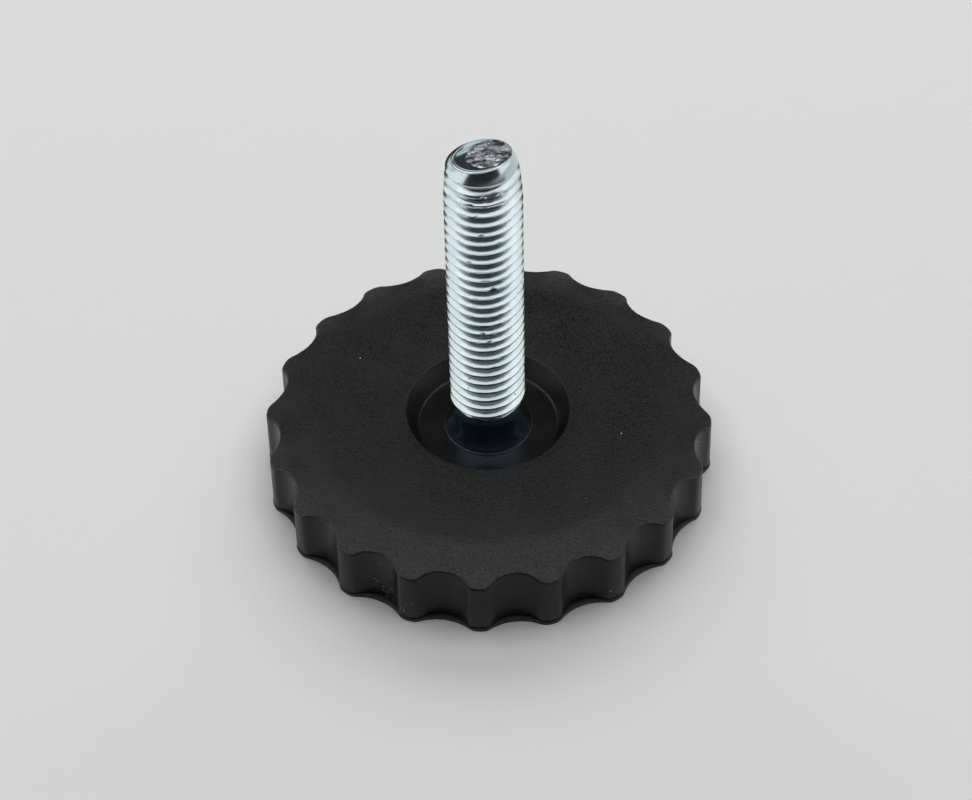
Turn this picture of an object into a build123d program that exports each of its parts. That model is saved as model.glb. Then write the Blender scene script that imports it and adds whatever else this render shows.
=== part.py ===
from build123d import *
import os
from math import atan2, cos, pi, radians, sin, tan

# Furniture leveling foot: a hand-turned scalloped base moulded around an M8 stud,
# standing on a separate anti-slip sole.  Millimetres, +Z up along the stud.
# The origin is the centre of the sole's underside, where the foot meets the floor.

# --- driving dimensions: scalloped rim ---------------------------------------
LOBE_COUNT = 20
BASE_DIAMETER = 48.3          # across the lobe noses at the top of the wall
SCALLOP_DEPTH = 1.55          # nose radius minus valley radius
NOSE_FACE_RADIUS = 3.2        # gently rounded face of each lobe's nose
NOSE_FACE_SWING = 10.0        # degrees from the middle of that face to its end
NOSE_CORNER_RADIUS = 1.15     # tighter rounding beside the face

# --- driving dimensions: base body -------------------------------------------
BASE_TOP_Z = 8.0              # flat land around the recess
BODY_BOTTOM_Z = 0.5           # lower edge of the scalloped wall
WALL_DRAFT = 0.7              # degrees the wall leans inward on its way up
FLAT_LAND_RADIUS = 18.9       # the top slopes down outside this radius
RIM_DROP = 1.3                # how far the top has dropped at the noses
RIM_EDGE_RADIUS = 0.35        # rounding of the top edge
RECESS_RADIUS = 8.8           # recess at the top face
RECESS_FLOOR_RADIUS = 7.5     # recess at its floor, before the corner rounding
RECESS_DEPTH = 2.2
RECESS_CORNER_RADIUS = 0.4

# --- driving dimensions: underside of the base body --------------------------
SOLE_SEAT_Z = 1.6             # ceiling of the shallow seat that takes the sole
SOLE_SEAT_RADIUS = 19.9
CORE_INNER_RADIUS = 9.6       # ring-shaped hollow that lightens the moulding
CORE_OUTER_RADIUS = 19.6
CORE_CEILING_Z = 5.0
RIB_COUNT = 6
RIB_THICKNESS = 1.6
SOCKET_CIRCLE_RADIUS = 14.6   # sockets for the sole's plugs sit on the ribs
SOCKET_BOSS_RADIUS = 2.9
SOCKET_DEPTH = 2.8
PLUG_RADIUS = 1.5

# --- driving dimensions: threaded stud ---------------------------------------
THREAD_RADIUS = 4.0           # M8 major diameter, modelled plain
THREAD_START_Z = 10.0         # lowest turn, 2 mm above the top of the base
STUD_TOP_Z = 44.3
STUD_END_RADIUS = 2.95        # top face inside the chamfer
STUD_CHAMFER_HEIGHT = 1.3
BLANK_RADIUS = 3.6            # shank under the rolled thread
COLLAR_RADIUS = 4.6           # foot of the conical neck
COLLAR_Z = 6.0
HEAD_ACROSS_FLATS = 13.0      # hexagon head moulded into the base
HEAD_TOP_Z = 4.2

# --- driving dimensions: sole -------------------------------------------------
SOLE_LIP_HEIGHT = 0.35        # outer lip under the scalloped wall
SOLE_LIP_DIAMETER = 48.6
SOLE_SCALLOP_DEPTH = 1.15     # the lip follows the lobes, but less deeply
SOLE_PLATEAU_RADIUS = 19.7    # raised middle that drops into the base's seat
PLUG_HEIGHT = 2.5
PLUG_TIP_CHAMFER = 0.4
TREAD_GROOVE_RADII = (7.0, 11.0, 15.0)
TREAD_GROOVE_WIDTH = 1.2
TREAD_GROOVE_DEPTH = 0.4

BASE_RADIUS = BASE_DIAMETER / 2
SOLE_LIP_RADIUS = SOLE_LIP_DIAMETER / 2
RECESS_FLOOR_Z = BASE_TOP_Z - RECESS_DEPTH
TOOL_MARGIN = 2.0             # how far cutting shapes run past the surfaces they cut


def polar(radius, angle):
    """Point in the XY plane at a radius and an angle in radians."""
    return (radius * cos(angle), radius * sin(angle))


def scalloped_face(nose_reach, depth):
    """Face bounded by softly squared noses joined by tangent hollow arcs."""
    half_pitch = pi / LOBE_COUNT
    swing = radians(NOSE_FACE_SWING)
    valley_reach = nose_reach - depth
    face_centre = nose_reach - NOSE_FACE_RADIUS
    inner = NOSE_FACE_RADIUS - NOSE_CORNER_RADIUS
    corner_x = face_centre + inner * cos(swing)
    corner_y = inner * sin(swing)
    along = corner_x * cos(half_pitch) + corner_y * sin(half_pitch)
    corner_reach_squared = corner_x**2 + corner_y**2
    hollow_radius = (
        NOSE_CORNER_RADIUS**2 - valley_reach**2 - corner_reach_squared + 2 * valley_reach * along
    ) / (2 * (valley_reach - along - NOSE_CORNER_RADIUS))
    hollow_x, hollow_y = polar(valley_reach + hollow_radius, half_pitch)
    tangent_angle = atan2(hollow_y - corner_y, hollow_x - corner_x)

    def corner_point(angle):
        """Reach and turn of the point on the nose's corner arc that faces an angle."""
        x = corner_x + NOSE_CORNER_RADIUS * cos(angle)
        y = corner_y + NOSE_CORNER_RADIUS * sin(angle)
        return (x**2 + y**2) ** 0.5, atan2(y, x)

    face_end = corner_point(swing)
    corner_middle = corner_point((swing + tangent_angle) / 2)
    hollow_start = corner_point(tangent_angle)
    arcs = []
    for lobe in range(LOBE_COUNT):
        turn = 2 * half_pitch * lobe
        before = [polar(reach, turn - away) for reach, away in (hollow_start, corner_middle, face_end)]
        after = [polar(reach, turn + away) for reach, away in (face_end, corner_middle, hollow_start)]
        next_start = polar(hollow_start[0], turn + 2 * half_pitch - hollow_start[1])
        arcs.append(ThreePointArc(*before))
        arcs.append(ThreePointArc(before[-1], polar(nose_reach, turn), after[0]))
        arcs.append(ThreePointArc(*after))
        arcs.append(ThreePointArc(after[-1], polar(valley_reach, turn + half_pitch), next_start))
    return make_face(Wire(arcs))


def turned(points):
    """Solid turned about Z from a closed outline of (radius, height) points."""
    outline = Polyline(*[(radius, 0, height) for radius, height in points], close=True)
    return revolve(make_face(outline), Axis.Z)


def disc(radius, low, high):
    """Plain round solid between two heights."""
    return Pos(0, 0, low) * extrude(Circle(radius), high - low)


def ring(inner, outer, low, high):
    """Plain round ring between two heights."""
    return disc(outer, low, high) - disc(inner, low, high)


def threaded_stud():
    """Stud with chamfered end, plain M8 cylinder, conical neck, collar and hexagon head."""
    shank = turned(
        [
            (0, 0),
            (COLLAR_RADIUS, 0),
            (COLLAR_RADIUS, COLLAR_Z),
            (BLANK_RADIUS, THREAD_START_Z),
            (THREAD_RADIUS, THREAD_START_Z),
            (THREAD_RADIUS, STUD_TOP_Z - STUD_CHAMFER_HEIGHT),
            (STUD_END_RADIUS, STUD_TOP_Z),
            (0, STUD_TOP_Z),
        ]
    )
    shank -= disc(COLLAR_RADIUS + TOOL_MARGIN, 0, SOLE_SEAT_Z)
    hexagon = RegularPolygon(HEAD_ACROSS_FLATS / 2, 6, major_radius=False)
    head = Pos(0, 0, SOLE_SEAT_Z) * extrude(hexagon, HEAD_TOP_Z - SOLE_SEAT_Z)
    return shank + head


def is_rim_edge(edge):
    """True for an edge that runs around the scalloped outline at the top."""
    lies_flat = edge.bounding_box().size.Z < RIM_DROP
    middle = edge @ 0.5
    is_outside = (middle.X**2 + middle.Y**2) ** 0.5 > FLAT_LAND_RADIUS + 1
    return lies_flat and is_outside and middle.Z > BASE_TOP_Z - 2 * RIM_DROP


def base_blank():
    """Scalloped disc with a flat land and a gently sloping, rounded rim."""
    wall_height = BASE_TOP_Z - BODY_BOTTOM_Z
    spread = wall_height * tan(radians(WALL_DRAFT))
    foot_outline = scalloped_face(BASE_RADIUS + spread, SCALLOP_DEPTH)
    blank = Pos(0, 0, BODY_BOTTOM_Z) * extrude(foot_outline, wall_height, taper=WALL_DRAFT)
    slope = RIM_DROP / (BASE_RADIUS - FLAT_LAND_RADIUS)
    crown_reach = BASE_RADIUS + TOOL_MARGIN
    crown = turned(
        [
            (0, BODY_BOTTOM_Z - TOOL_MARGIN),
            (crown_reach, BODY_BOTTOM_Z - TOOL_MARGIN),
            (crown_reach, BASE_TOP_Z - slope * (crown_reach - FLAT_LAND_RADIUS)),
            (FLAT_LAND_RADIUS, BASE_TOP_Z),
            (0, BASE_TOP_Z),
        ]
    )
    blank &= crown
    rim_edges = [edge for edge in blank.edges() if is_rim_edge(edge)]
    return fillet(rim_edges, RIM_EDGE_RADIUS)


def recess_tool():
    """Round recess with a tapered wall and a rounded corner at its floor."""
    tool = turned(
        [
            (0, RECESS_FLOOR_Z),
            (RECESS_FLOOR_RADIUS, RECESS_FLOOR_Z),
            (RECESS_RADIUS, BASE_TOP_Z),
            (RECESS_RADIUS, BASE_TOP_Z + TOOL_MARGIN),
            (0, BASE_TOP_Z + TOOL_MARGIN),
        ]
    )
    floor_edge = tool.edges().group_by(Axis.Z)[0]
    return fillet(floor_edge, RECESS_CORNER_RADIUS)


def base_body(stud):
    """Moulded base: scalloped rim, recess, ribbed underside, moulded-in stud."""
    body = base_blank()
    body -= recess_tool()
    body -= disc(SOLE_SEAT_RADIUS, BODY_BOTTOM_Z - TOOL_MARGIN, SOLE_SEAT_Z)
    hollow = ring(CORE_INNER_RADIUS, CORE_OUTER_RADIUS, SOLE_SEAT_Z, CORE_CEILING_Z)
    for rib in range(RIB_COUNT):
        turn = 360 / RIB_COUNT * rib
        hollow -= Rot(0, 0, turn) * Pos(SOCKET_CIRCLE_RADIUS, 0, CORE_CEILING_Z / 2) * Box(
            CORE_OUTER_RADIUS, RIB_THICKNESS, 2 * CORE_CEILING_Z
        )
        hollow -= Pos(*polar(SOCKET_CIRCLE_RADIUS, radians(turn)), 0) * disc(
            SOCKET_BOSS_RADIUS, 0, CORE_CEILING_Z + TOOL_MARGIN
        )
    body -= hollow
    for socket in range(RIB_COUNT):
        turn = 2 * pi / RIB_COUNT * socket
        body -= Pos(*polar(SOCKET_CIRCLE_RADIUS, turn), 0) * disc(
            PLUG_RADIUS, SOLE_SEAT_Z, SOLE_SEAT_Z + SOCKET_DEPTH
        )
    return body - stud


def anti_slip_sole():
    """Soft sole: scalloped lip, raised plateau, press-in plugs and ring grooves underneath."""
    sole = extrude(scalloped_face(SOLE_LIP_RADIUS, SOLE_SCALLOP_DEPTH), SOLE_LIP_HEIGHT)
    sole += disc(SOLE_PLATEAU_RADIUS, 0, SOLE_SEAT_Z)
    for plug in range(RIB_COUNT):
        turn = 2 * pi / RIB_COUNT * plug
        stem = disc(PLUG_RADIUS, SOLE_SEAT_Z, SOLE_SEAT_Z + PLUG_HEIGHT)
        stem = chamfer(stem.edges().group_by(Axis.Z)[-1], PLUG_TIP_CHAMFER)
        sole += Pos(*polar(SOCKET_CIRCLE_RADIUS, turn), 0) * stem
    for radius in TREAD_GROOVE_RADII:
        sole -= ring(
            radius - TREAD_GROOVE_WIDTH / 2, radius + TREAD_GROOVE_WIDTH / 2, -TOOL_MARGIN, TREAD_GROOVE_DEPTH
        )
    return sole


stud = threaded_stud()
nodes = {
    "base_body": base_body(stud),
    "threaded_stud": stud,
    "anti_slip_sole": anti_slip_sole(),
}

os.makedirs("parts", exist_ok=True)
for name, solid in nodes.items():
    export_step(solid, f"parts/{name}.step")
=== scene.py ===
"""Looks of a furniture leveling foot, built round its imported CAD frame.

The foot is a black moulded base with a scalloped rim, a zinc-plated M8 stud that
stands in a recess, and a thin anti-slip sole. Every piece is shaped on the bench in
millimetres and scaled to metres when it is finished.
"""

import logging
import math
from collections.abc import Callable, Sequence
from dataclasses import dataclass, field
from enum import Enum

import bpy
from mathutils import Matrix, Vector, noise


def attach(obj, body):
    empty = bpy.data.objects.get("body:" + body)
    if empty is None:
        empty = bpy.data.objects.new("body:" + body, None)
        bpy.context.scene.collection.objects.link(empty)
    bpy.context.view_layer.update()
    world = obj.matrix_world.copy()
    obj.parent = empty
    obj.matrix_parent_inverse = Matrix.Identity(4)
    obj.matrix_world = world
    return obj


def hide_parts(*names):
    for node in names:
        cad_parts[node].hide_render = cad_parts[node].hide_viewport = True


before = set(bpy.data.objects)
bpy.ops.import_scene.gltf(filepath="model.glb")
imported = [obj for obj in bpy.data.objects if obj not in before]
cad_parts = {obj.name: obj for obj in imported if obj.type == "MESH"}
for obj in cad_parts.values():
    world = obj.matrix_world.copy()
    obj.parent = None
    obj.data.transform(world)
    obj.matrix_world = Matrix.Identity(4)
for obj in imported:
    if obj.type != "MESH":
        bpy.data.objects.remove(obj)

MM = 0.001
FULL_TURN = 2 * math.pi
MERGE_DISTANCE = 1e-4
SEAM_DISTANCE = 0.08
SAME_HEIGHT = 1e-3
POLE_LOOP = 2.0
SHARP_EDGE = 60.0
NOISE_SPAN = (0.3, 0.7)
CLOUD_SPAN = (0.35, 0.7)
LOG = logging.getLogger("leveling_foot")

Point = tuple[float, float]
Place = tuple[float, float, float]
Colour = tuple[float, float, float]


class Pick(Enum):
    """What kind of element a selection is made of."""

    VERTEX = (True, False, False)
    EDGE = (False, True, False)


def reach(place: Vector) -> float:
    """Distance of a place from the upright axis.

    Args:
        place: The place.

    Returns:
        The distance, in the place's own unit.
    """
    return math.hypot(place.x, place.y)


def smooth_step(low: float, high: float, value: float) -> float:
    """Eases from 0 at low to 1 at high.

    Args:
        low: Value at which the ramp starts.
        high: Value at which the ramp ends.
        value: Value looked up.

    Returns:
        A share from 0 to 1.
    """
    share = min(1.0, max(0.0, (value - low) / (high - low)))
    return share * share * (3 - 2 * share)


def arc(centre: Point, radius: float, start: float, end: float, steps: int) -> list[Point]:
    """Points along a circular arc.

    Args:
        centre: Middle of the arc.
        radius: Radius of the arc.
        start: First angle in degrees, counterclockwise from the first axis.
        end: Last angle in degrees.
        steps: Number of chords.

    Returns:
        The points from start to end, both included.
    """
    turns = [math.radians(start + (end - start) * step / steps) for step in range(steps + 1)]
    return [
        (centre[0] + radius * math.cos(turn), centre[1] + radius * math.sin(turn)) for turn in turns
    ]


class Bench:
    """A mesh being shaped in edit mode, in millimetres."""

    def __init__(self, name: str) -> None:
        """Starts from a small plane drawn together to one vertex at the origin.

        Args:
            name: Name of the piece.
        """
        bpy.ops.object.select_all(action="DESELECT")
        bpy.ops.mesh.primitive_plane_add(size=1.0, location=(0, 0, 0))
        self.piece = bpy.context.object
        self.piece.name = name
        self.piece.data.name = name
        bpy.context.tool_settings.mesh_select_mode = Pick.VERTEX.value
        bpy.ops.object.mode_set(mode="EDIT")
        bpy.ops.mesh.select_all(action="SELECT")
        bpy.ops.mesh.merge(type="CENTER")

    def move(self, x: float = 0.0, y: float = 0.0, z: float = 0.0) -> None:
        """Moves the selection.

        Args:
            x: Way along the first axis.
            y: Way along the second axis.
            z: Way up.
        """
        bpy.ops.transform.translate(value=(x, y, z))

    def draw(self, points: Sequence[Point]) -> None:
        """Draws a line of edges in the upright XZ plane from the selected vertex.

        Args:
            points: Radius and height of each vertex; the first is where the line starts.
        """
        self.move(x=points[0][0], z=points[0][1])
        for (r0, z0), (r1, z1) in zip(points, points[1:]):
            way = (r1 - r0, 0, z1 - z0)
            bpy.ops.mesh.extrude_region_move(TRANSFORM_OT_translate={"value": way})

    def swing(self, centre: Point, angle: float, steps: int) -> None:
        """Spins the selection counterclockwise about an upright axis.

        Args:
            centre: Where the axis stands.
            angle: Turn in radians.
            steps: Number of chords.
        """
        bpy.ops.mesh.spin(steps=steps, angle=-angle, center=(*centre, 0), axis=(0, 0, 1))

    def repeat(self, count: int) -> None:
        """Copies everything round the upright axis and welds the copies.

        Args:
            count: Number of copies in a full turn.
        """
        bpy.ops.mesh.select_all(action="SELECT")
        bpy.ops.mesh.spin(
            steps=count, dupli=True, angle=FULL_TURN, center=(0, 0, 0), axis=(0, 0, 1)
        )
        self.weld()

    def weld(self) -> None:
        """Merges doubles in the whole mesh and leaves all of it selected."""
        bpy.ops.mesh.select_all(action="SELECT")
        bpy.ops.mesh.remove_doubles(threshold=MERGE_DISTANCE)

    def pick_height(self, height: float) -> None:
        """Selects the vertices at one height.

        Args:
            height: The height.
        """
        bpy.ops.mesh.select_all(action="DESELECT")
        bpy.ops.object.mode_set(mode="OBJECT")
        bpy.context.tool_settings.mesh_select_mode = Pick.VERTEX.value
        for vertex in self.piece.data.vertices:
            vertex.select = abs(vertex.co.z - height) < SAME_HEIGHT
        bpy.ops.object.mode_set(mode="EDIT")

    def selected_size(self) -> Point:
        """Measures the selection.

        Returns:
            Mean reach and mean height of the selected vertices.
        """
        self.piece.update_from_editmode()
        places = [vertex.co for vertex in self.piece.data.vertices if vertex.select]
        count = len(places)
        return sum(map(reach, places)) / count, sum(place.z for place in places) / count

    def loop(self, radius: float, height: float) -> None:
        """Extrudes the selected loop of edges into a round loop.

        Args:
            radius: Radius of the new loop.
            height: Height of the new loop.
        """
        bpy.ops.mesh.extrude_region_move()
        bpy.ops.transform.tosphere(value=1.0)
        self.size_loop(radius, height)

    def size_loop(self, radius: float, height: float) -> None:
        """Scales and lifts the selected loop.

        Args:
            radius: Mean radius it gets.
            height: Height it gets.
        """
        old_radius, old_height = self.selected_size()
        factor = radius / old_radius
        bpy.ops.transform.resize(value=(factor, factor, 1), center_override=(0, 0, 0))
        self.move(z=height - old_height)

    def step_loop(self, factor: float, height: float) -> None:
        """Extrudes the selected loop, keeping its form.

        Args:
            factor: Scale of the new loop in plan.
            height: Height of the new loop.
        """
        bpy.ops.mesh.extrude_region_move()
        bpy.ops.transform.resize(value=(factor, factor, 1), center_override=(0, 0, 0))
        self.move(z=height - self.selected_size()[1])

    def close_loop(self) -> None:
        """Closes the selected loop with a fan that meets in a pole on the axis."""
        bpy.ops.mesh.extrude_region_move()
        bpy.ops.mesh.merge(type="CENTER")

    def fill_and_inset(self, width: float) -> None:
        """Fills the selected outline with a face and insets that face.

        Args:
            width: Even width of the strip that the inset leaves.
        """
        bpy.ops.mesh.edge_face_add()
        bpy.ops.mesh.inset(thickness=width, use_even_offset=True)

    def pick_open_edge(self) -> None:
        """Selects the open boundary of the mesh."""
        bpy.ops.mesh.select_all(action="DESELECT")
        bpy.ops.mesh.select_non_manifold(
            extend=False,
            use_wire=True,
            use_boundary=True,
            use_multi_face=False,
            use_non_contiguous=False,
            use_verts=False,
        )

    def pick_sharp(self, test: Callable[[Vector], bool]) -> None:
        """Selects the sharp edges whose middle passes a test.

        Args:
            test: Says of a middle point whether its edge is wanted.
        """
        bpy.ops.mesh.select_all(action="DESELECT")
        bpy.ops.mesh.select_mode(type=Pick.EDGE.name)
        bpy.ops.mesh.edges_select_sharp(sharpness=math.radians(SHARP_EDGE))
        bpy.ops.object.mode_set(mode="OBJECT")
        mesh = self.piece.data
        for edge in mesh.edges:
            first, last = (mesh.vertices[index].co for index in edge.vertices)
            edge.select = edge.select and test((first + last) / 2)
        bpy.ops.object.mode_set(mode="EDIT")

    def round_edges(self, width: float, segments: int) -> None:
        """Rounds the selected edges.

        Args:
            width: Width of the rounding on each face.
            segments: Number of strips across the rounding.
        """
        bpy.ops.mesh.bevel(
            offset=width, segments=segments, profile=0.5, affect="EDGES", clamp_overlap=False
        )

    def face_outward(self) -> None:
        """Merges doubles, turns every face outward and goes back to object mode."""
        self.weld()
        bpy.ops.mesh.normals_make_consistent(inside=False)
        bpy.ops.object.mode_set(mode="OBJECT")

    def apply(self, modifier: "bpy.types.Modifier") -> None:
        """Applies a modifier to the piece.

        Args:
            modifier: The modifier.
        """
        bpy.ops.object.select_all(action="DESELECT")
        self.piece.select_set(True)
        bpy.context.view_layer.objects.active = self.piece
        bpy.ops.object.modifier_apply(modifier=modifier.name)

    def finish(self, smooth_angle: float = 30.0) -> "bpy.types.Object":
        """Shades the piece smooth and scales its mesh to metres.

        Args:
            smooth_angle: Edges sharper than this many degrees stay sharp.

        Returns:
            The finished object, at the origin and unscaled.
        """
        bpy.ops.object.select_all(action="DESELECT")
        self.piece.select_set(True)
        bpy.context.view_layer.objects.active = self.piece
        self.piece.data.transform(Matrix.Scale(MM, 4))
        bpy.ops.object.shade_smooth_by_angle(angle=math.radians(smooth_angle))
        LOG.info("%s: %d faces", self.piece.name, len(self.piece.data.polygons))
        return self.piece


@dataclass(frozen=True)
class Speckle:
    """Small round specks scattered over a surface.

    Attributes:
        spacing: Size of the cells that may each hold a speck, in millimetres.
        radius: Radius of a speck, as a share of a cell.
        share: Share of the cells that hold one.
        softness: Part of the radius within which a speck is at full strength.
    """

    spacing: float
    radius: float
    share: float
    softness: float = 0.6


class Recipe:
    """A material's node tree, built one node at a time."""

    def __init__(self, name: str) -> None:
        """Makes the material with a Principled shader and object coordinates.

        Args:
            name: Name of the material.
        """
        self.material = bpy.data.materials.new(name)
        self.material.use_nodes = True
        self.tree = self.material.node_tree
        self.tree.nodes.clear()
        output = self.tree.nodes.new("ShaderNodeOutputMaterial")
        self.shader = self.tree.nodes.new("ShaderNodeBsdfPrincipled")
        self.tree.links.new(self.shader.outputs["BSDF"], output.inputs["Surface"])
        self.place = self.tree.nodes.new("ShaderNodeTexCoord").outputs["Object"]

    def set(self, **values: object) -> None:
        """Sets constants on the shader.

        Args:
            **values: Values by socket name; an underscore stands for a space.
        """
        for name, value in values.items():
            self.shader.inputs[name.replace("_", " ")].default_value = value

    def feed(self, socket: str, source: "bpy.types.NodeSocket") -> None:
        """Links a value to one of the shader's sockets.

        Args:
            socket: Name of the shader's socket.
            source: Output that feeds it.
        """
        self.tree.links.new(source, self.shader.inputs[socket])

    def node(
        self, kind: str, inputs: dict[str | int, object], **settings: object
    ) -> "bpy.types.Node":
        """Adds one node.

        Args:
            kind: Blender's name of the node type, without its prefix.
            inputs: Values or sockets for its inputs.
            **settings: Properties of the node.

        Returns:
            The node.
        """
        node = self.tree.nodes.new("ShaderNode" + kind)
        for name, value in settings.items():
            setattr(node, name, value)
        for name, value in inputs.items():
            if isinstance(value, bpy.types.NodeSocket):
                self.tree.links.new(value, node.inputs[name])
            else:
                node.inputs[name].default_value = value
        return node

    def stretched(self, x: float, y: float, z: float) -> "bpy.types.NodeSocket":
        """Object coordinates scaled along each axis.

        Args:
            x: Scale along the first axis.
            y: Scale along the second axis.
            z: Scale upward.

        Returns:
            The scaled coordinates.
        """
        return self.node("Mapping", {"Vector": self.place, "Scale": (x, y, z)}).outputs["Vector"]

    def grain(
        self, size: float, detail: float = 2.0, place: "bpy.types.NodeSocket | None" = None
    ) -> "bpy.types.NodeSocket":
        """Noise with grains of a size in millimetres.

        Args:
            size: Size of one grain.
            detail: Octaves of finer noise.
            place: Coordinates, or None for the plain object coordinates.

        Returns:
            The noise value, about 0.5 on average.
        """
        inputs = {"Vector": place or self.place, "Scale": 1 / (size * MM), "Detail": detail}
        return self.node("TexNoise", inputs).outputs["Fac"]

    def ramp(
        self,
        value: "bpy.types.NodeSocket",
        low: float,
        high: float,
        start: float = 0.0,
        end: float = 1.0,
    ) -> "bpy.types.NodeSocket":
        """Maps one span of values to another, clamped.

        Args:
            value: Value mapped.
            low: Value that gives start.
            high: Value that gives end.
            start: Result at low.
            end: Result at high.

        Returns:
            The mapped value.
        """
        inputs = {"Value": value, "From Min": low, "From Max": high, "To Min": start, "To Max": end}
        return self.node("MapRange", inputs).outputs["Result"]

    def maths(
        self,
        operation: str,
        first: "bpy.types.NodeSocket | float",
        second: "bpy.types.NodeSocket | float",
    ) -> "bpy.types.NodeSocket":
        """Combines two values.

        Args:
            operation: Blender's name of the operation.
            first: First value.
            second: Second value.

        Returns:
            The result.
        """
        return self.node("Math", {0: first, 1: second}, operation=operation).outputs["Value"]

    def blend(
        self,
        share: "bpy.types.NodeSocket",
        first: "bpy.types.NodeSocket | Colour",
        second: "bpy.types.NodeSocket | Colour",
    ) -> "bpy.types.NodeSocket":
        """Mixes two colours.

        Args:
            share: Share of the second colour, from 0 to 1.
            first: Colour or socket at a share of 0.
            second: Colour or socket at a share of 1.

        Returns:
            The mixed colour.
        """
        inputs = {0: share}
        for socket, colour in ((6, first), (7, second)):
            is_linked = isinstance(colour, bpy.types.NodeSocket)
            inputs[socket] = colour if is_linked else (*colour, 1.0)
        return self.node("Mix", inputs, data_type="RGBA").outputs[2]

    def specks(self, speckle: Speckle) -> "bpy.types.NodeSocket":
        """Mask of small round specks.

        Args:
            speckle: How the specks are spread.

        Returns:
            1 inside a speck and 0 outside.
        """
        scale = 1 / (speckle.spacing * MM)
        cells = self.node("TexVoronoi", {"Vector": self.place, "Scale": scale})
        core = speckle.softness * speckle.radius
        inside = self.ramp(cells.outputs["Distance"], speckle.radius, core)
        chance = self.node("SeparateColor", {"Color": cells.outputs["Color"]}).outputs["Red"]
        return self.maths("MULTIPLY", inside, self.maths("LESS_THAN", chance, speckle.share))

    def near(self, middle: Place, radius: float) -> "bpy.types.NodeSocket":
        """Mask of the places near a point.

        Args:
            middle: The point, in millimetres.
            radius: Distance at which the mask has faded out, in millimetres.

        Returns:
            1 at the point, 0 beyond the radius.
        """
        inputs = {0: self.place, 1: tuple(value * MM for value in middle)}
        away = self.node("VectorMath", inputs, operation="DISTANCE").outputs["Value"]
        return self.ramp(away, radius * MM, 0.5 * radius * MM)

    def bump(self, layers: Sequence[tuple["bpy.types.NodeSocket", float]]) -> None:
        """Feeds the shader's normal with layers of relief.

        Args:
            layers: Height value and relief in millimetres of each layer.
        """
        normal = None
        for height, relief in layers:
            inputs = {"Height": height, "Strength": 1.0, "Distance": relief * MM}
            if normal is not None:
                inputs["Normal"] = normal
            normal = self.node("Bump", inputs).outputs["Normal"]
        self.feed("Normal", normal)


@dataclass(frozen=True)
class MouldedNylon:
    """Black nylon from a spark-eroded mould, with a few specks of dust."""

    name: str = "moulded_nylon"
    colour: Colour = (0.0032, 0.0032, 0.0034)
    worn_colour: Colour = (0.0050, 0.0050, 0.0052)
    dust_colour: Colour = (0.70, 0.70, 0.70)
    roughness: float = 0.47
    roughness_drift: float = 0.04
    cloud_size: float = 6.0
    grain_size: float = 0.24
    grain_relief: float = 0.055
    grain_span: Point = (0.35, 0.65)
    mottle: float = 0.16
    sheen: float = 0.5
    loose_dust: Speckle = Speckle(spacing=0.9, radius=0.10, share=0.012)
    settled_dust: Speckle = Speckle(spacing=0.32, radius=0.22, share=0.30)
    dust_patch: Place = (-9.8, -21.4, 2.2)
    dust_spread: float = 4.6

    def material(self) -> "bpy.types.Material":
        """Builds the material.

        Returns:
            The material.
        """
        recipe = Recipe(self.name)
        cloud = recipe.grain(self.cloud_size, detail=4.0)
        tone = recipe.blend(recipe.ramp(cloud, *CLOUD_SPAN), self.colour, self.worn_colour)
        near = recipe.near(self.dust_patch, self.dust_spread)
        settled = recipe.maths("MULTIPLY", recipe.specks(self.settled_dust), near)
        dust = recipe.maths("MAXIMUM", recipe.specks(self.loose_dust), settled)
        recipe.feed("Base Color", recipe.blend(dust, tone, self.dust_colour))
        grain = recipe.grain(self.grain_size)
        low, high = self.roughness - self.roughness_drift, self.roughness + self.roughness_drift
        even = recipe.ramp(cloud, *NOISE_SPAN, low, high)
        uneven = recipe.ramp(grain, *self.grain_span, -self.mottle, self.mottle)
        recipe.feed("Roughness", recipe.maths("ADD", even, uneven))
        recipe.set(Specular_IOR_Level=self.sheen)
        recipe.bump([(grain, self.grain_relief)])
        return recipe.material


@dataclass(frozen=True)
class ZincPlate:
    """Bright zinc plating with a cold blue tint and a few brown stains low on the thread."""

    colour: Colour = (0.69, 0.77, 0.78)
    tint: Colour = (0.60, 0.70, 0.74)
    stain_colour: Colour = (0.16, 0.10, 0.06)
    name: str = "zinc_plate"
    roughness: float = 0.19
    roughness_drift: Point = (-0.03, 0.06)
    cloud_size: float = 2.5
    cloud_span: Point = (0.35, 0.65)
    grain_size: float = 0.12
    grain_relief: float = 0.0006
    stains: Speckle = Speckle(spacing=0.6, radius=0.20, share=0.10)
    stain_patch: Place = (3.0, -2.5, 14.0)
    stain_spread: float = 12.0

    def material(self) -> "bpy.types.Material":
        """Builds the material.

        Returns:
            The material.
        """
        recipe = Recipe(self.name)
        cloud = recipe.grain(self.cloud_size, detail=3.0)
        tone = recipe.blend(recipe.ramp(cloud, *self.cloud_span), self.colour, self.tint)
        near = recipe.near(self.stain_patch, self.stain_spread)
        stains = recipe.maths("MULTIPLY", recipe.specks(self.stains), near)
        recipe.feed("Base Color", recipe.blend(stains, tone, self.stain_colour))
        fine = recipe.grain(self.grain_size, detail=3.0)
        low, high = (self.roughness + drift for drift in self.roughness_drift)
        recipe.feed("Roughness", recipe.ramp(fine, *NOISE_SPAN, low, high))
        recipe.set(Metallic=1.0)
        recipe.bump([(fine, self.grain_relief)])
        return recipe.material


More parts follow.
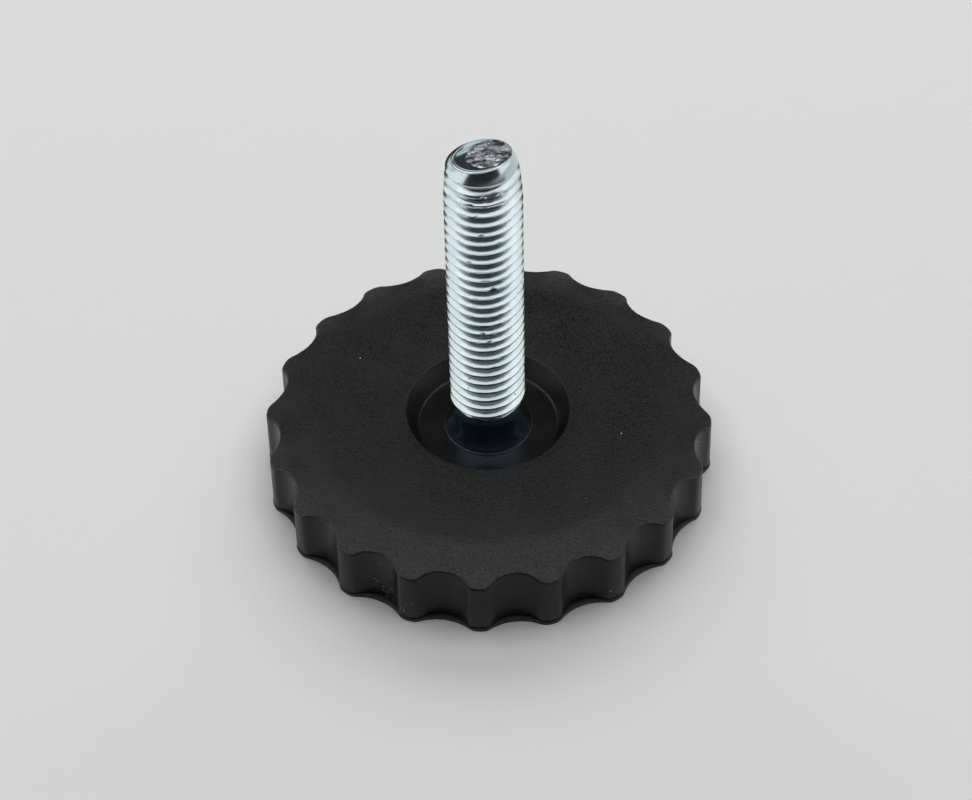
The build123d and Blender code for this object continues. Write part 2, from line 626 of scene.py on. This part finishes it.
@dataclass(frozen=True)
class TornSteel:
    """End face left by a cropping blade, in dark and bright streaks."""

    dark_colour: Colour = (0.08, 0.095, 0.11)
    bright_colour: Colour = (0.80, 0.85, 0.90)
    roughness: Point = (0.30, 0.45)
    streak_size: float = 0.9
    streak_stretch: Place = (1.0, 1.8, 1.0)
    streak_span: Point = (0.38, 0.62)
    streak_relief: float = 0.16

    def material(self) -> "bpy.types.Material":
        """Builds the material.

        Returns:
            The material.
        """
        recipe = Recipe("torn_steel")
        place = recipe.stretched(*self.streak_stretch)
        streaks = recipe.grain(self.streak_size, detail=4.0, place=place)
        share = recipe.ramp(streaks, *self.streak_span)
        recipe.feed("Base Color", recipe.blend(share, self.dark_colour, self.bright_colour))
        recipe.feed("Roughness", recipe.ramp(streaks, *NOISE_SPAN, *self.roughness))
        recipe.set(Metallic=1.0)
        recipe.bump([(streaks, self.streak_relief)])
        return recipe.material


@dataclass(frozen=True)
class SoleRubber:
    """Dull dark rubber of the sole."""

    colour: Colour = (0.018, 0.018, 0.018)
    pale_colour: Colour = (0.03, 0.03, 0.03)
    roughness: Point = (0.55, 0.7)
    cloud_size: float = 3.0
    grain_size: float = 0.15
    grain_relief: float = 0.02

    def material(self) -> "bpy.types.Material":
        """Builds the material.

        Returns:
            The material.
        """
        recipe = Recipe("sole_rubber")
        cloud = recipe.grain(self.cloud_size, detail=4.0)
        tone = recipe.blend(recipe.ramp(cloud, *CLOUD_SPAN), self.colour, self.pale_colour)
        recipe.feed("Base Color", tone)
        recipe.feed("Roughness", recipe.ramp(cloud, *NOISE_SPAN, *self.roughness))
        recipe.bump([(recipe.grain(self.grain_size), self.grain_relief)])
        return recipe.material


@dataclass(frozen=True)
class PaleFloor:
    """Plain pale paper sweep."""

    colour: Colour = (0.86, 0.86, 0.865)
    roughness: float = 0.9

    def material(self) -> "bpy.types.Material":
        """Builds the material.

        Returns:
            The material.
        """
        recipe = Recipe("pale_floor")
        recipe.set(
            Base_Color=(*self.colour, 1.0), Roughness=self.roughness, Specular_IOR_Level=0.0
        )
        return recipe.material


@dataclass(frozen=True)
class Scallops:
    """A round outline of noses joined by tangent hollows, in millimetres."""

    nose_reach: float
    depth: float
    face_radius: float = 3.2
    face_swing: float = 10.0
    corner_radius: float = 1.15
    lobes: int = 20
    face_steps: int = 4
    corner_steps: int = 7
    hollow_steps: int = 12

    def draw(self, bench: Bench, height: float) -> None:
        """Draws the closed outline on an empty bench.

        Args:
            bench: Bench that holds only its first vertex.
            height: Height of the outline.
        """
        half_pitch = math.pi / self.lobes
        face_centre = self.nose_reach - self.face_radius
        face_swing = math.radians(self.face_swing)
        inner = self.face_radius - self.corner_radius
        corner = Vector((face_centre + inner * math.cos(face_swing), -inner * math.sin(face_swing)))
        valley = self.nose_reach - self.depth
        toward = Vector((math.cos(half_pitch), -math.sin(half_pitch)))
        along = toward.dot(corner)
        hollow_radius = (
            self.corner_radius**2 - valley**2 - corner.length_squared + 2 * valley * along
        ) / (2 * (valley - along - self.corner_radius))
        hollow = toward * (valley + hollow_radius)
        away = hollow - corner
        turned = math.atan2(-away.y, away.x)
        hollow_swing = turned - half_pitch
        bench.move(x=valley * toward.x, y=valley * toward.y, z=height)
        bench.swing((hollow.x, hollow.y), -hollow_swing, self.hollow_steps // 2)
        bench.swing((corner.x, corner.y), turned - face_swing, self.corner_steps)
        bench.swing((face_centre, 0), 2 * face_swing, self.face_steps)
        bench.swing((corner.x, -corner.y), turned - face_swing, self.corner_steps)
        bench.swing((hollow.x, -hollow.y), -hollow_swing, self.hollow_steps // 2)
        bench.repeat(self.lobes)


@dataclass
class BaseBody:
    """Black moulded base with a scalloped rim, a sloping outer ring and a recess."""

    finish: MouldedNylon = field(default_factory=MouldedNylon)
    recess_finish: MouldedNylon = field(
        default_factory=lambda: MouldedNylon(
            "recess_nylon", roughness=0.30, grain_relief=0.002, mottle=0.01, sheen=0.4
        )
    )
    wall_finish: MouldedNylon = field(
        default_factory=lambda: MouldedNylon(
            "wall_nylon", roughness=0.33, grain_relief=0.02, mottle=0.05, sheen=0.3
        )
    )
    outline: Scallops = field(default_factory=lambda: Scallops(nose_reach=24.15, depth=1.55))
    top: float = 8.0
    bottom: float = 0.5
    top_loops: tuple[float, ...] = (21.6, 20.6, 19.4, 18.2, 14.0)
    land_radius: float = 18.2
    ring_drop: float = 0.75
    ring_ease: float = 0.5
    valley_reach: float = 22.4
    nose_drop: float = 0.35
    nose_margin: float = 0.3
    slope_floor: float = 1.5
    rim_inset: float = 0.24
    rim_rounding: float = 0.20
    foot_rounding: float = 0.15
    wall_reach: float = 22.3
    draft_growth: float = 1.004
    recess_apron: float = 1.2
    recess_edge: float = 0.14
    recess_radius: float = 8.8
    recess_foot: float = 7.32
    recess_floor: float = 5.8
    recess_corner: float = 0.4
    recess_taper: float = 30.0
    collar_radius: float = 4.6
    collar_bead: tuple[Point, ...] = (
        (1.0, 0.0),
        (0.22, 0.0),
        (0.14, 0.07),
        (0.04, 0.10),
        (0.02, -0.04),
    )
    pocket_radius: float = 4.62
    pocket_top: float = 4.3
    seat_radius: float = 19.9
    seat: float = 1.6
    floor_band: float = 0.02
    steep_normal: float = 0.6
    steep_margin: float = 0.05
    steep_reach: float = 6.0

    def recess_profile(self) -> list[Point]:
        """Lists the round loops from the land down to the collar.

        Returns:
            Radius and height of each loop.
        """
        edge_centre = (self.recess_radius + self.recess_edge, self.top - self.recess_edge)
        corner_centre = (self.recess_foot, self.recess_floor + self.recess_corner)
        return [
            (self.recess_radius + self.recess_apron, self.top),
            *arc(edge_centre, self.recess_edge, 90, 180 - self.recess_taper, 4),
            *arc(corner_centre, self.recess_corner, -self.recess_taper, -90, 8),
            *(
                (self.collar_radius + out, self.recess_floor + up)
                for out, up in self.collar_bead
            ),
        ]

    def build(self) -> "bpy.types.Object":
        """Builds and dresses the base.

        Returns:
            The finished piece, riding its body.
        """
        bench = Bench("base_body_moulded")
        self.outline.draw(bench, self.top)
        bench.fill_and_inset(self.rim_inset)
        for radius in self.top_loops:
            bench.loop(radius, self.top)
        for radius, height in self.recess_profile():
            bench.loop(radius, height)
        bench.loop(self.pocket_radius, self.pocket_top)
        bench.loop(POLE_LOOP, self.pocket_top)
        bench.close_loop()
        bench.pick_open_edge()
        bench.step_loop(self.draft_growth**0.5, (self.top + self.bottom) / 2)
        bench.step_loop(self.draft_growth**0.5, self.bottom)
        bench.loop(self.seat_radius, self.bottom)
        bench.loop(self.seat_radius, self.seat)
        bench.loop(POLE_LOOP, self.seat)
        bench.close_loop()
        bench.face_outward()
        bpy.ops.object.mode_set(mode="EDIT")
        self.round_outline(bench, self.top, self.rim_rounding, 5)
        self.round_outline(bench, self.bottom, self.foot_rounding, 2)
        bench.face_outward()
        self.slope_rim(bench)
        piece = bench.finish()
        self.dress(piece)
        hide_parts("base_body")
        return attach(piece, "root")

    def round_outline(self, bench: Bench, height: float, width: float, segments: int) -> None:
        """Rounds the scalloped edge at one height.

        Args:
            bench: The base on its bench.
            height: Height of the edge.
            width: Width of the rounding on each face.
            segments: Number of strips across the rounding.
        """
        bench.pick_sharp(
            lambda place: abs(place.z - height) < SAME_HEIGHT and reach(place) > self.wall_reach
        )
        bench.round_edges(width, segments)

    def slope_rim(self, bench: Bench) -> None:
        """Lowers the outer ring in a gentle slope from the flat land to the noses.

        Args:
            bench: The base on its bench.
        """
        span = self.valley_reach - self.land_radius
        nose_end = self.outline.nose_reach + self.nose_margin
        for vertex in bench.piece.data.vertices:
            place = vertex.co
            out = reach(place) - self.land_radius
            if out > 0 and place.z > self.slope_floor:
                share = min(1.0, (place.z - self.bottom) / (self.top - self.bottom))
                ease = smooth_step(0.0, self.ring_ease, out / span)
                nose = smooth_step(self.valley_reach, nose_end, reach(place))
                place.z -= share * (self.ring_drop * ease * out / span + self.nose_drop * nose)

    def dress(self, piece: "bpy.types.Object") -> None:
        """Gives the land, the recess floor and the walls their finishes.

        Args:
            piece: The finished base.
        """
        for finish in (self.finish, self.recess_finish, self.wall_finish):
            piece.data.materials.append(finish.material())
        for face in piece.data.polygons:
            place = face.center / MM
            is_steep = abs(face.normal.z) < self.steep_normal
            is_below = place.z < self.top - self.steep_margin
            is_on_floor = abs(place.z - self.recess_floor) < self.floor_band
            if reach(place) < self.recess_radius and is_on_floor:
                face.material_index = 1
            elif is_steep and is_below and reach(place) > self.steep_reach:
                face.material_index = 2


@dataclass
class ThreadedStud:
    """Zinc-plated steel stud: M8 thread, cropped end, conical neck and collar."""

    finish: ZincPlate = field(default_factory=ZincPlate)
    end_finish: TornSteel = field(default_factory=TornSteel)
    # Neck, collar and shank get a darker, bluer copy of the plating: painted shade of the recess
    # they stand in.
    neck_shaded_finish: ZincPlate = field(
        default_factory=lambda: ZincPlate(
            (0.33, 0.47, 0.62), (0.25, 0.37, 0.52), name="zinc_neck", roughness=0.12
        )
    )
    crest: float = 4.0
    root: float = 3.26
    crest_width: float = 0.13
    crest_rounding: tuple[Point, ...] = ((-0.004, 0.0), (0.0, -0.02))
    flank_angle: float = 30.0
    flank_depths: tuple[float, ...] = (0.64, 0.45, 0.20, 0.05, 0.02)
    root_rounding: tuple[Point, ...] = ((0.02, 0.03), (0.06, -0.03))
    pitch: float = 1.25
    phase: float = 178.8
    steps_per_turn: int = 112
    turns_below: float = 1.5
    thread_start: float = 9.85
    run_out: Point = (0.02, 0.35)
    end_wear: tuple[Place, ...] = ((0.17, 38.5, 41.7), (0.24, 41.5, 43.3))
    nick_spacing: float = 1.9
    nick_level: float = 0.42
    nick_depth: float = 0.35
    burr_spacing: float = 5.0
    burr_depth: float = 0.035
    burr_fade: Point = (40.0, 28.0)
    chamfer_start: float = 43.2
    chamfer_step: float = 0.06
    chamfer_radius: float = 3.60
    chamfer_loops: tuple[float, ...] = (3.5, 3.3, 3.12, 3.02)
    top: float = 44.3
    end_radius: float = 2.95
    shoulder_radius: float = 0.3
    shoulder_inset: float = 0.25
    shoulder_turns: tuple[float, ...] = (35, 45, 55, 65, 75, 85, 90)
    end_rings: int = 34
    end_lean: Point = (0.169, -0.138)
    lean_band: Point = (0.3, 0.4)
    tear_middle: Point = (0.75, 0.1)
    tear_limit: Point = (2.45, 2.2)
    tear_wander: Point = (0.2, 1.7)
    tear_stretch: Place = (1.3, 2.6, 3.7)
    tear_relief: float = 0.11
    tear_lift: float = 0.03
    crop_drop: float = 0.06
    crop_band: Point = (0.02, 0.35)
    roll_depth: float = 0.16
    roll_toward: Point = (-0.5, 0.87)
    roll_start: float = 1.2
    torn_margin: Point = (0.27, 1.0)
    blank_radius: float = 3.6
    neck: tuple[Point, ...] = (
        (3.60, 9.6),
        (3.61, 9.2),
        (3.67, 8.7),
        (3.80, 8.15),
        (3.96, 7.5),
        (4.15, 6.9),
        (4.38, 6.35),
        (4.54, 6.08),
    )
    collar_radius: float = 4.6
    collar_height: float = 5.92
    shank_foot: float = 4.0

    def thread_profile(self) -> list[Point]:
        """Draws one pitch of the thread.

        Returns:
            Radius and height of its points, from root middle to root middle.
        """
        slope = math.tan(math.radians(self.flank_angle))
        crest_half = self.crest_width / 2
        flank_foot = crest_half + (self.crest - self.root) * slope
        rise = [
            (self.root, self.pitch / 2),
            *((self.root + up, flank_foot + along) for up, along in self.root_rounding),
            *((self.crest - depth, crest_half + depth * slope) for depth in self.flank_depths),
            *((self.crest + up, crest_half + along) for up, along in self.crest_rounding),
        ]
        below = [(radius, -height) for radius, height in rise]
        return [*below, *reversed(rise)]

    def build(self) -> "bpy.types.Object":
        """Builds and dresses the stud.

        Returns:
            The finished piece, riding its body.
        """
        bench = Bench("stud_zinc_plated")
        self.wind_thread(bench)
        self.shape_thread(bench)
        bpy.ops.object.mode_set(mode="EDIT")
        bench.weld()
        self.trim(bench, self.chamfer_start, keep_below=True)
        self.trim(bench, self.thread_start, keep_below=False)
        bench.weld()
        self.add_end(bench)
        self.add_neck(bench)
        bench.face_outward()
        self.lean_end(bench)
        piece = bench.finish(smooth_angle=25.0)
        self.dress(piece)
        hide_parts("threaded_stud")
        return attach(piece, "root")

    def wind_thread(self, bench: Bench) -> None:
        """Winds the thread's profile into a screw, a little longer than the stud needs.

        Args:
            bench: Bench that holds only its first vertex.
        """
        bench.draw(self.thread_profile())
        bpy.ops.object.mode_set(mode="OBJECT")
        screw = bench.piece.modifiers.new("thread", "SCREW")
        screw.steps = screw.render_steps = self.steps_per_turn
        screw.iterations = math.ceil((self.chamfer_start - self.thread_start) / self.pitch) + 3
        screw.screw_offset = self.pitch
        screw.use_merge_vertices = False
        bench.apply(screw)
        low = self.thread_start - self.turns_below * self.pitch
        bench.piece.data.transform(Matrix.Rotation(math.radians(self.phase), 4, "Z"))
        bench.piece.data.transform(Matrix.Translation((0, 0, low)))

    def shape_thread(self, bench: Bench) -> None:
        """Runs the thread out at the neck, tapers it at the end and adds nicks and burrs.

        Args:
            bench: The stud on its bench.
        """
        run_out_low, run_out_high = (self.thread_start + up for up in self.run_out)
        for vertex in bench.piece.data.vertices:
            place = vertex.co
            radius = reach(place)
            deep = smooth_step(run_out_low, run_out_high, place.z)
            limit = self.crest
            for depth, low, high in self.end_wear:
                limit -= depth * smooth_step(low, high, place.z)
            peak = noise.noise(place * self.nick_spacing) - self.nick_level
            limit -= max(0.0, peak) * self.nick_depth
            burr = self.burr_depth * max(0.0, noise.noise(place * self.burr_spacing))
            limit -= burr * smooth_step(*self.burr_fade, place.z)
            wanted = min(self.blank_radius + (radius - self.blank_radius) * deep, limit)
            factor = wanted / radius
            place.x *= factor
            place.y *= factor

    def trim(self, bench: Bench, height: float, keep_below: bool) -> None:
        """Cuts the thread off square at a height.

        Args:
            bench: The stud on its bench; not used, the cut acts on the mesh in edit mode.
            height: Height of the cut.
            keep_below: Whether the lower part is the one that stays.
        """
        bpy.ops.mesh.select_all(action="SELECT")
        bpy.ops.mesh.bisect(
            plane_co=(0, 0, height),
            plane_no=(0, 0, 1),
            clear_outer=keep_below,
            clear_inner=not keep_below,
            use_fill=False,
        )

    def add_end(self, bench: Bench) -> None:
        """Grows the chamfer, the shoulder and the rings of the end face.

        Args:
            bench: The stud on its bench.
        """
        bench.pick_height(self.chamfer_start)
        bpy.ops.mesh.remove_doubles(threshold=SEAM_DISTANCE)
        low = self.chamfer_start + self.chamfer_step
        slope = (self.top - low) / (self.chamfer_radius - self.end_radius)
        for radius in (self.chamfer_radius, *self.chamfer_loops):
            bench.loop(radius, low + slope * (self.chamfer_radius - radius))
        middle = (self.end_radius - self.shoulder_inset, self.top - self.shoulder_radius)
        for share in self.shoulder_turns:
            turn = math.radians(share)
            out, up = self.shoulder_radius * math.cos(turn), self.shoulder_radius * math.sin(turn)
            bench.loop(middle[0] + out, middle[1] + up)
        for ring in range(self.end_rings, 1, -1):
            bench.step_loop((ring - 1) / ring, self.top)
        bench.close_loop()

    def add_neck(self, bench: Bench) -> None:
        """Grows the conical neck, the collar and the closed foot of the shank.

        Args:
            bench: The stud on its bench.
        """
        bench.pick_height(self.thread_start)
        bpy.ops.mesh.remove_doubles(threshold=SEAM_DISTANCE)
        foot = [
            (self.collar_radius, self.collar_height),
            (self.collar_radius, self.shank_foot),
            (POLE_LOOP, self.shank_foot),
        ]
        for radius, height in (*self.neck, *foot):
            bench.loop(radius, height)
        bench.close_loop()

    def tear(self, place: Vector) -> float:
        """Says how torn the end face is at a place.

        Args:
            place: The place, in millimetres.

        Returns:
            0 where it was sheared smooth, 1 where it broke.
        """
        wander, scale = self.tear_wander
        away = math.hypot(place.x - self.tear_middle[0], place.y - self.tear_middle[1])
        away += wander * noise.noise(Vector((place.x, place.y, 0)) * scale)
        return smooth_step(*self.tear_limit, away)

    def crop(self, place: Vector) -> float:
        """Says how far cropping moved a place on the flat end face.

        Args:
            place: The place, in millimetres.

        Returns:
            The rise, or less than 0 where the face is lower.
        """
        along, across, layer = self.tear_stretch
        rough = noise.fractal(Vector((place.x * along, place.y * across, layer)), 0.7, 2.2, 4)
        outer, inner = (self.end_radius - inset for inset in self.crop_band)
        torn = self.tear(place)
        relief = self.tear_relief * torn * max(-1.0, min(1.0, rough)) + self.tear_lift * torn
        toward = self.roll_toward[0] * place.x + self.roll_toward[1] * place.y
        rolled = self.roll_depth * max(0.0, toward - self.roll_start) ** 2
        return smooth_step(outer, inner, reach(place)) * (relief - self.crop_drop) - rolled

    def lean_end(self, bench: Bench) -> None:
        """Tears the end face, rolls over its far side and leans it.

        Args:
            bench: The stud on its bench.
        """
        low, high = self.chamfer_start - self.lean_band[0], self.top - self.lean_band[1]
        for vertex in bench.piece.data.vertices:
            place = vertex.co
            if place.z > self.top - SAME_HEIGHT:
                place.z += self.crop(place)
            tilt = smooth_step(low, high, place.z)
            place.z += tilt * (self.end_lean[0] * place.x + self.end_lean[1] * place.y)

    def dress(self, piece: "bpy.types.Object") -> None:
        """Gives the thread and the torn end their finishes, and the neck, collar and shank a darker
        copy of the plating as painted shade.

        Args:
            piece: The finished stud.
        """
        for finish in (self.finish, self.end_finish, self.neck_shaded_finish):
            piece.data.materials.append(finish.material())
        inset, drop = self.torn_margin
        for face in piece.data.polygons:
            place = face.center / MM
            is_end = place.z > self.top - drop and reach(place) < self.end_radius - inset
            if is_end and self.tear(place) > 0.5:
                face.material_index = 1
            # Faces below the thread get the darker copy of the plating, which is painted shade.
            elif place.z < self.thread_start:
                face.material_index = 2


@dataclass
class AntiSlipSole:
    """Soft sole: a scalloped lip, a plateau inside the base and tread grooves."""

    finish: SoleRubber = field(default_factory=SoleRubber)
    outline: Scallops = field(default_factory=lambda: Scallops(nose_reach=24.3, depth=1.15))
    lip_height: float = 0.35
    lip_inset: float = 0.3
    lip_reach: float = 22.5
    lip_rounding: float = 0.12
    plateau_radius: float = 19.7
    seat: float = 1.6
    groove_radii: tuple[float, ...] = (15.0, 11.0, 7.0)
    groove_width: float = 1.2
    groove_depth: float = 0.4
    groove_taper: float = 0.08
    middle_loop: float = 1.0

    def build(self) -> "bpy.types.Object":
        """Builds and dresses the sole.

        Returns:
            The finished piece, riding its body.
        """
        bench = Bench("sole_anti_slip")
        self.outline.draw(bench, self.lip_height)
        bench.fill_and_inset(self.lip_inset)
        bench.loop(self.plateau_radius, self.lip_height)
        bench.loop(self.plateau_radius, self.seat)
        bench.loop(POLE_LOOP, self.seat)
        bench.close_loop()
        bench.pick_open_edge()
        bench.step_loop(1.0, 0.0)
        bench.fill_and_inset(self.lip_inset)
        for radius in self.groove_radii:
            outer, inner = radius + self.groove_width / 2, radius - self.groove_width / 2
            bench.loop(outer, 0.0)
            bench.loop(outer - self.groove_taper, self.groove_depth)
            bench.loop(inner + self.groove_taper, self.groove_depth)
            bench.loop(inner, 0.0)
        bench.loop(self.middle_loop, 0.0)
        bench.close_loop()
        bench.face_outward()
        bpy.ops.object.mode_set(mode="EDIT")
        bench.pick_sharp(lambda place: reach(place) > self.lip_reach)
        bench.round_edges(self.lip_rounding, 3)
        bench.face_outward()
        piece = bench.finish()
        piece.data.materials.append(self.finish.material())
        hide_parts("anti_slip_sole")
        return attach(piece, "root")


@dataclass(frozen=True)
class Softbox:
    """A large soft light, seen by matt surfaces, by mirroring ones or by both.

    Attributes:
        name: Name of the light.
        place: Where it hangs, in metres.
        aim: What it points at, in metres.
        width: Width in metres.
        height: Height in metres.
        power: Power in watts.
        seen_matt: Whether it lights matt surfaces.
        seen_mirrored: Whether surfaces mirror it.
    """

    name: str
    place: Place
    aim: Place
    width: float
    height: float
    power: float
    seen_matt: bool = True
    seen_mirrored: bool = True

    def build(self) -> None:
        """Makes the area light and turns it to its aim."""
        light = bpy.data.lights.new(self.name, "AREA")
        light.shape = "RECTANGLE"
        light.size = self.width
        light.size_y = self.height
        light.energy = self.power
        lamp = bpy.data.objects.new(self.name, light)
        bpy.context.scene.collection.objects.link(lamp)
        lamp.visible_diffuse = self.seen_matt
        lamp.visible_glossy = self.seen_mirrored
        lamp.location = self.place
        away = Vector(self.aim) - Vector(self.place)
        lamp.rotation_euler = away.to_track_quat("-Z", "Y").to_euler()


@dataclass
class Studio:
    """Floor, soft lights and camera."""

    floor_finish: PaleFloor = field(default_factory=PaleFloor)
    floor_size: float = 3.0
    ambient: float = 0.02
    boxes: tuple[Softbox, ...] = (
        Softbox(
            "overhead_box", (0.0, 0.08, 0.80), (0.0, 0.08, 0.0), 1.3, 0.76, 3.5, seen_matt=False
        ),
        Softbox(
            "left_box", (-0.70, 0.10, 0.46), (0.0, 0.10, 0.46), 1.1, 0.85, 3.0, seen_matt=False
        ),
        Softbox(
            "right_box", (0.70, 0.10, 0.46), (0.0, 0.10, 0.46), 1.1, 0.85, 3.0, seen_matt=False
        ),
        Softbox(
            "back_box", (0.0, 0.90, 0.12), (0.0, 0.0, 0.12), 1.2, 0.20, 0.6, seen_matt=False
        ),
        Softbox(
            "top_wash", (0.0, 0.08, 0.80), (0.0, 0.08, 0.0), 1.3, 0.76, 9.3, seen_mirrored=False
        ),
        Softbox(
            "back_wash", (0.0, 0.85, 0.60), (0.0, 0.0, 0.0), 1.8, 0.50, 7.6, seen_mirrored=False
        ),
    )
    card_gap: float = 0.055
    card_colour: Colour = (0.02, 0.03, 0.045)
    card_length: float = 0.5
    card_width: float = 0.5
    card_height: float = 0.002
    card_roughness: float = 0.9
    aim: Place = (-0.0002, 0.0, 0.0093)
    distance: float = 0.275
    elevation: float = 46.75
    azimuth: float = 3.42
    roll: float = -1.39
    lens: float = 94.6
    clip: Point = (0.01, 10.0)

    def build(self) -> None:
        """Sets up the whole studio."""
        bpy.ops.object.select_all(action="DESELECT")
        bpy.ops.mesh.primitive_plane_add(size=self.floor_size, location=(0, 0, 0))
        floor = bpy.context.object
        floor.name = "studio_floor"
        floor.data.materials.append(self.floor_finish.material())
        world = bpy.data.worlds.new("studio")
        world.use_nodes = True
        background = world.node_tree.nodes["Background"]
        background.inputs["Color"].default_value = (1, 1, 1, 1)
        background.inputs["Strength"].default_value = self.ambient
        bpy.context.scene.world = world
        bpy.context.scene.view_settings.view_transform = "Standard"
        for box in self.boxes:
            box.build()
        self.add_card()
        self.add_camera()

    def add_card(self) -> None:
        """Lays a black card in front, which darkens only what the plating mirrors."""
        middle = -self.card_gap - self.card_length / 2
        bpy.ops.object.select_all(action="DESELECT")
        bpy.ops.mesh.primitive_plane_add(size=1.0, location=(0, middle, self.card_height))
        card = bpy.context.object
        card.name = "studio_black_card"
        card.scale = (self.card_width, self.card_length, 1.0)
        card.visible_camera = card.visible_diffuse = card.visible_shadow = False
        recipe = Recipe("black_card")
        recipe.set(Base_Color=(*self.card_colour, 1.0), Roughness=self.card_roughness)
        card.data.materials.append(recipe.material)

    def add_camera(self) -> None:
        """Places the camera on its sphere about the aim and makes it the scene's."""
        azimuth, elevation = math.radians(self.azimuth), math.radians(self.elevation)
        back = Vector(
            (
                math.sin(azimuth) * math.cos(elevation),
                -math.cos(azimuth) * math.cos(elevation),
                math.sin(elevation),
            )
        )
        camera = bpy.data.cameras.new("camera")
        camera.lens = self.lens
        camera.clip_start, camera.clip_end = self.clip
        rig = bpy.data.objects.new("camera", camera)
        bpy.context.scene.collection.objects.link(rig)
        rig.location = Vector(self.aim) + back * self.distance
        level = (-back).to_track_quat("-Z", "Y").to_matrix()
        rolled = level @ Matrix.Rotation(math.radians(self.roll), 3, "Z")
        rig.rotation_euler = rolled.to_euler()
        bpy.context.scene.camera = rig


def main() -> None:
    logging.basicConfig(level=logging.INFO, format="%(message)s")
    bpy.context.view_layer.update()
    for part in (AntiSlipSole(), BaseBody(), ThreadedStud()):
        piece = part.build()
    Studio().build()


if __name__ == "__main__":
    main()
